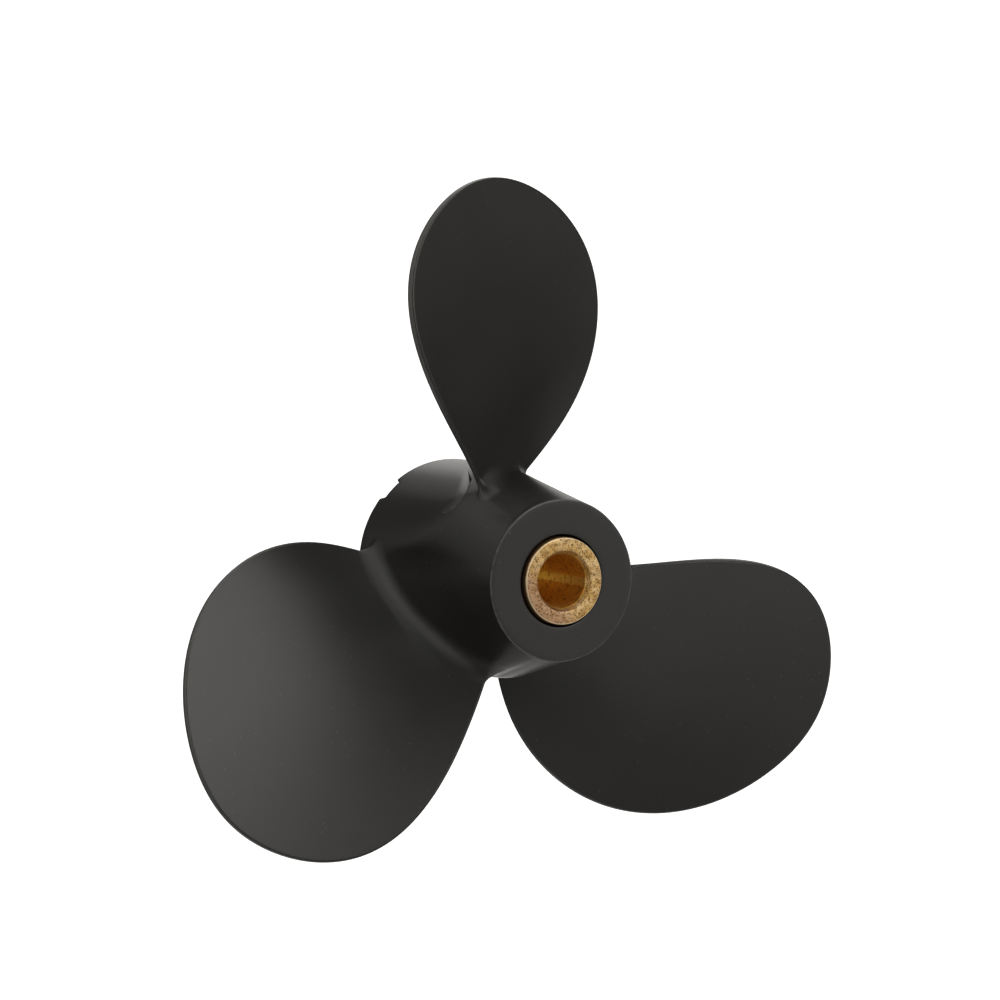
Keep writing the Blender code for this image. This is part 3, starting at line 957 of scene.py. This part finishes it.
class Field:
    """The output of a node, with Python's operators."""

    def __init__(self, tree, output):
        self.tree = tree
        self.output = output

    def math(self, operation, *others):
        """One Math node of this field and others."""
        node = self.tree.nodes.new("ShaderNodeMath")
        node.operation = operation
        for socket, value in zip(node.inputs, (self, *others)):
            plug(self.tree, socket, value)
        return Field(self.tree, node.outputs[0])

    def __add__(self, other):
        return self.math("ADD", other)

    __radd__ = __add__

    def __mul__(self, other):
        return self.math("MULTIPLY", other)

    __rmul__ = __mul__

    def __sub__(self, other):
        return self.math("SUBTRACT", other)

    def __rsub__(self, other):
        return self * -1.0 + other

    def __pow__(self, other):
        return self.math("POWER", other)

    def __abs__(self):
        return self.math("ABSOLUTE")

    def ramp(self, low, high):
        """0 at and below low, 1 at and beyond high, and an S curve between them."""
        node = self.tree.nodes.new("ShaderNodeMapRange")
        node.interpolation_type = "SMOOTHSTEP"
        for name, value in (("Value", self), ("From Min", low), ("From Max", high)):
            plug(self.tree, node.inputs[name], value)
        return Field(self.tree, node.outputs[0])


class Finish:
    """One material: its node tree, its Principled shader and its places in millimetres."""

    def __init__(self, name):
        self.material = bpy.data.materials.new(name)
        self.material.use_nodes = True
        self.tree = self.material.node_tree
        self.shader = self.tree.nodes["Principled BSDF"]
        own = self.node("ShaderNodeTexCoord", {}, {}, "Object")
        self.place = self.node("ShaderNodeVectorMath", {"operation": "SCALE"},
                               {"Vector": own, "Scale": 1.0 / MM}, "Vector")
        parts = self.tree.nodes.new("ShaderNodeSeparateXYZ")
        plug(self.tree, parts.inputs[0], self.place)
        self.x, self.y, self.z = (Field(self.tree, output) for output in parts.outputs)

    def node(self, kind, settings, values, output):
        """Adds a node, sets its settings first and then its sockets, and gives one output."""
        node = self.tree.nodes.new(kind)
        for name, value in settings.items():
            setattr(node, name, value)
        for name, value in values.items():
            socket = next(item for item in node.inputs if name in (item.identifier, item.name))
            plug(self.tree, socket, value)
        return Field(self.tree, node.outputs[output])

    def noise(self, size, detail=2.0):
        """Cloudy noise about 0.5 whose features are as large as size, in millimetres."""
        values = {"Vector": self.place, "Scale": 1.0 / size, "Detail": detail}
        return self.node("ShaderNodeTexNoise", {}, values, "Fac")

    def grains(self, size):
        """Distance in millimetres to the nearest of scattered points about size apart."""
        values = {"Vector": self.place, "Scale": 1.0 / size}
        return self.node("ShaderNodeTexVoronoi", {}, values, "Distance") * size

    def stored(self, name):
        """A number that the mesh stores at each of its points."""
        return self.node("ShaderNodeAttribute", {"attribute_name": name}, {}, "Fac")

    def blend(self, share, first, second):
        """Mixes two colours, each a field or three numbers."""
        first, second = (item if isinstance(item, Field) else (*item, 1.0)
                         for item in (first, second))
        values = {"Factor_Float": share, "A_Color": first, "B_Color": second}
        return self.node("ShaderNodeMix", {"data_type": "RGBA"}, values, 2)

    def relief(self, height, depth):
        """Dents and bumps in the light: a height from 0 to 1 over a depth in millimetres."""
        values = {"Height": height, "Distance": depth * MM, "Strength": 1.0}
        return self.node("ShaderNodeBump", {}, values, "Normal")

    def wear(self, piece, **sockets):
        """Plugs the shader's sockets and gives the finish to a piece."""
        for name, value in sockets.items():
            plug(self.tree, self.shader.inputs[name.replace("_", " ").title()], value)
        piece.data.materials.append(self.material)
        print(f"{self.material.name}: {len(self.tree.nodes)} nodes on {piece.name}")


# %% [markdown]
# ## Satin black paint
#
# The casting is sprayed and baked. Sprayed paint keeps a faint orange peel, which breaks up
# reflections a little, and a finer grain. Handling leaves dust that shows as light specks on
# black. At edges paint is thin and rubs off first. The lighter line there is worn paint and a
# painted highlight in one. For that the mesh stores each point's distance from the nearest edge,
# worked out below from the blades' outline formula and the aft face's rim.

# %% Distance from the edges
FAR = 50.0
ABOVE_ROOT = 2.0


def edge_distance(points):
    """Distance in millimetres to the blades' outline or to the edge of the aft face.

    The gap to the outline, taken round the shaft, is shortened by the outline's own slope.
    """
    radius = np.hypot(points[:, 0], points[:, 2])
    station = points[:, 1]
    angle = np.arctan2(points[:, 0], points[:, 2])
    share = np.clip(radius / TIP_RADIUS, OUTLINE_START, NEAR_TIP)
    raked = (station + RAKE * (share - RAKE_SHARE)) / LEAD
    angle = angle - STEP * np.round((angle - raked) / STEP)
    width = np.hypot(radius, LEAD)
    nudge = 5e-4
    nearest = np.full(len(points), FAR)
    for side, here, inner in zip((1.0, -1.0), blade_edges(share), blade_edges(share - nudge)):
        climb = width * (here - inner) / (nudge * TIP_RADIUS)
        nearest = np.minimum(nearest, side * (angle - here) * width / np.hypot(1.0, climb))
    nearest = np.where(radius > ROOT_RADIUS + ABOVE_ROOT, np.maximum(nearest, 0.0), FAR)
    return np.minimum(nearest, np.hypot(radius - AFT_RADIUS, station - HUB_AFT))


count = len(casting.data.vertices)
points = np.empty(3 * count, np.float32)
casting.data.vertices.foreach_get("co", points)
distance = edge_distance(points.reshape(-1, 3) / MM)
stored = casting.data.attributes.new("edge_distance", "FLOAT", "POINT")
stored.data.foreach_set("value", distance.astype(np.float32))
print(f"{int((distance < 1.0).sum())} of {count} points lie within 1 mm of an edge")

# %% [markdown]
# The paint's formula: its black drifts a little between two warm tones, dust is a small disc round
# each of the scattered points, and the lighter edge line, worn paint and a painted highlight in
# one, is as wide as the stored distance and a noise allow. The line stops short of the blades'
# roots. Orange peel and grain are bumps of about two hundredths of a millimetre, too small for the
# mesh, so they go into the normal.

# %% Paint
BLACK_LOW = (0.0085, 0.0078, 0.0066)
BLACK_HIGH = (0.0105, 0.0100, 0.0085)
DUST_GREY = (0.16, 0.155, 0.14)
# Grey of the edge line: worn paint and a painted highlight in one.
WORN_AND_HIGHLIGHT_GREY = (0.20, 0.195, 0.18)
CLOUD_SIZE = 24.0
PEEL_SIZE = 1.7
GRAIN_SIZE = 0.32
DUST_SPACING = 2.4
DUST_DISC = (0.06, 0.15)
EDGE_LINE_WIDTH = (0.3, 0.5)
EDGE_LINE_NOISE = 0.35
EDGE_LINE_NOISE_SIZE = 1.6
ROOT_ZONE = (26.0, 28.0)
ROOT_ZONE_END = (36.0, 56.0)
PEEL_DEPTH = 0.018

paint = Finish("satin_black_paint")
cloud = paint.noise(CLOUD_SIZE, 3.0)
peel = paint.noise(PEEL_SIZE, 2.0)
grain = paint.noise(GRAIN_SIZE, 1.0)
dust = 1.0 - paint.grains(DUST_SPACING).ramp(*DUST_DISC)
uneven = EDGE_LINE_NOISE * paint.noise(EDGE_LINE_NOISE_SIZE, 3.0)
# Worn paint and painted highlight: a lighter grey line along the blades' edges and the aft face's
# rim.
worn_edge_and_highlight = 1.0 - (paint.stored("edge_distance") + uneven).ramp(*EDGE_LINE_WIDTH)
out = (paint.x * paint.x + paint.z * paint.z) ** 0.5
worn_edge_and_highlight = worn_edge_and_highlight * (1.0 - out.ramp(*ROOT_ZONE) * (1.0 - out.ramp(*ROOT_ZONE_END)))
olive = paint.blend(cloud.ramp(0.3, 0.7), BLACK_LOW, BLACK_HIGH)
dusty = paint.blend(dust * 0.7, olive, DUST_GREY)
shade = paint.blend(worn_edge_and_highlight * 0.3, dusty, WORN_AND_HIGHLIGHT_GREY)
paint.wear(
    casting,
    base_color=shade,
    roughness=0.33 + 0.06 * cloud + 0.05 * grain + 0.25 * dust,
    normal=paint.relief(0.6 * peel + 0.4 * grain, PEEL_DEPTH),
)

# %% [markdown]
# ## Sintered bronze
#
# A sintered bearing is pressed from bronze powder, so its faces are peppered with dark pores and
# its colour drifts between gold and copper. The copper tone is also laid towards the lower left.
# The bore's tone is its bronze made brighter and more orange, a painted glow, and a yellow band on
# one side of the bore is a painted highlight. A painted highlight also lies on the corner round the
# face's outer edge. Old grease has stained all of it, and the side is a darker brown.
#
# Where a tone lies follows from the radius, which tells the bore, the face, its corner and the
# side apart. Each tone is laid over the one before with a share, like coats of paint.

# %% Bronze
GOLD_LOW = (0.56, 0.34, 0.11)
GOLD_HIGH = (0.74, 0.52, 0.25)
COPPER = (0.42, 0.25, 0.16)
# The bore's tone: its own bronze, made brighter and more orange as a painted glow of light inside the
# bore.
BORE_ORANGE_AND_GLOW = (0.90, 0.54, 0.11)
# Painted highlight: the bright yellow of a band along one side of the bore.
BORE_HIGHLIGHT_YELLOW = (1.0, 0.82, 0.32)
SIDE_BROWN = (0.17, 0.10, 0.06)
STAIN_BROWN = (0.22, 0.11, 0.04)
PORE_BROWN = (0.12, 0.05, 0.015)
# Painted highlight on the corner round the sleeve face's outer edge.
CORNER_HIGHLIGHT = (0.92, 0.76, 0.50)
POWDER_SIZE = 0.34
STAIN_SIZE = 1.3
DRIFT_SIZE = 2.4
BORE_LIMIT = (SLEEVE_BORE + 0.12, SLEEVE_BORE + 0.3)
SIDE_LIMIT = (SLEEVE_RADIUS - 0.12, SLEEVE_RADIUS - 0.04)
CORNER_LIMIT = (0.06, 0.16)
BORE_HIGHLIGHT_LEVEL = -0.4
BORE_HIGHLIGHT_LIMIT = (0.6, 1.4)
PORE_DEPTH = 0.02

bronze = Finish("sintered_bronze")
powder = bronze.noise(POWDER_SIZE, 3.0)
stains = bronze.noise(STAIN_SIZE, 3.0)
drift = bronze.noise(DRIFT_SIZE, 3.0)
pores = 1.0 - powder.ramp(0.32, 0.52)
radius = (bronze.x * bronze.x + bronze.z * bronze.z) ** 0.5
inside = 1.0 - radius.ramp(*BORE_LIMIT)
# Painted highlight: a yellow band along the right side of the bore, at about its middle height.
bore_highlight = inside * (1.0 - abs(bronze.z - BORE_HIGHLIGHT_LEVEL).ramp(*BORE_HIGHLIGHT_LIMIT)) * bronze.x.ramp(0.0, 2.0)
# The copper tone is laid towards the lower left of the sleeve, broken up by the drift noise.
coppery = (-0.7 * bronze.x - 0.7 * bronze.z + 9.0 * (drift - 0.5)).ramp(1.0, 8.0)
# Painted highlight: a bright line on the corner round the face's outer edge.
corner_highlight = 1.0 - abs(radius - (SLEEVE_RADIUS - OUTER_CHAMFER)).ramp(*CORNER_LIMIT)
# The sleeve's outer side is coloured a darker brown.
side = radius.ramp(*SIDE_LIMIT)
metal = bronze.blend(drift.ramp(0.38, 0.62), GOLD_LOW, GOLD_HIGH)
coats = [(coppery * 0.75, COPPER), (inside, BORE_ORANGE_AND_GLOW), (bore_highlight, BORE_HIGHLIGHT_YELLOW),
         (side * 0.85, SIDE_BROWN), ((1.0 - stains.ramp(0.34, 0.5)) * 0.45, STAIN_BROWN),
         (pores * (0.85 - 0.55 * inside), PORE_BROWN), (corner_highlight * 0.8, CORNER_HIGHLIGHT)]
for share, tone in coats:
    metal = bronze.blend(share, metal, tone)
bronze.wear(
    sleeve,
    base_color=metal,
    metallic=0.9,
    roughness=0.42 + 0.35 * pores - 0.12 * bore_highlight,
    normal=bronze.relief(powder.ramp(0.3, 0.5), PORE_DEPTH),
)

# %% [markdown]
# ## Moulded rubber
#
# The bush is black rubber that grease keeps dull. It hardly catches any light, and two noises are
# enough for it: a cloudy one in its black, and the mould's grain in its roughness and normal.

# %% Rubber
RUBBER_LOW = (0.006, 0.006, 0.006)
RUBBER_HIGH = (0.014, 0.013, 0.012)
RUBBER_CLOUD = 6.0
MOULD_GRAIN = 0.5
MOULD_DEPTH = 0.03

rubber = Finish("moulded_rubber")
mould = rubber.noise(MOULD_GRAIN, 3.0)
rubber.wear(
    bush,
    base_color=rubber.blend(rubber.noise(RUBBER_CLOUD), RUBBER_LOW, RUBBER_HIGH),
    roughness=0.72 + 0.15 * mould,
    normal=rubber.relief(mould, MOULD_DEPTH),
)

# %% [markdown]
# ## White paper
#
# Paper behind an object gets its own lamps until it is pure white. Here it glows a little more
# than white, so it needs no lamp and no shadow falls on it.

# %% White paper
PAPER_WHITE = (1.0, 1.0, 1.0, 1.0)
PAPER_GLOW = 1.1

paper = Finish("white_sweep_paper")
paper.shader.inputs["Emission Strength"].default_value = PAPER_GLOW
paper.wear(sweep, base_color=PAPER_WHITE, emission_color=PAPER_WHITE)
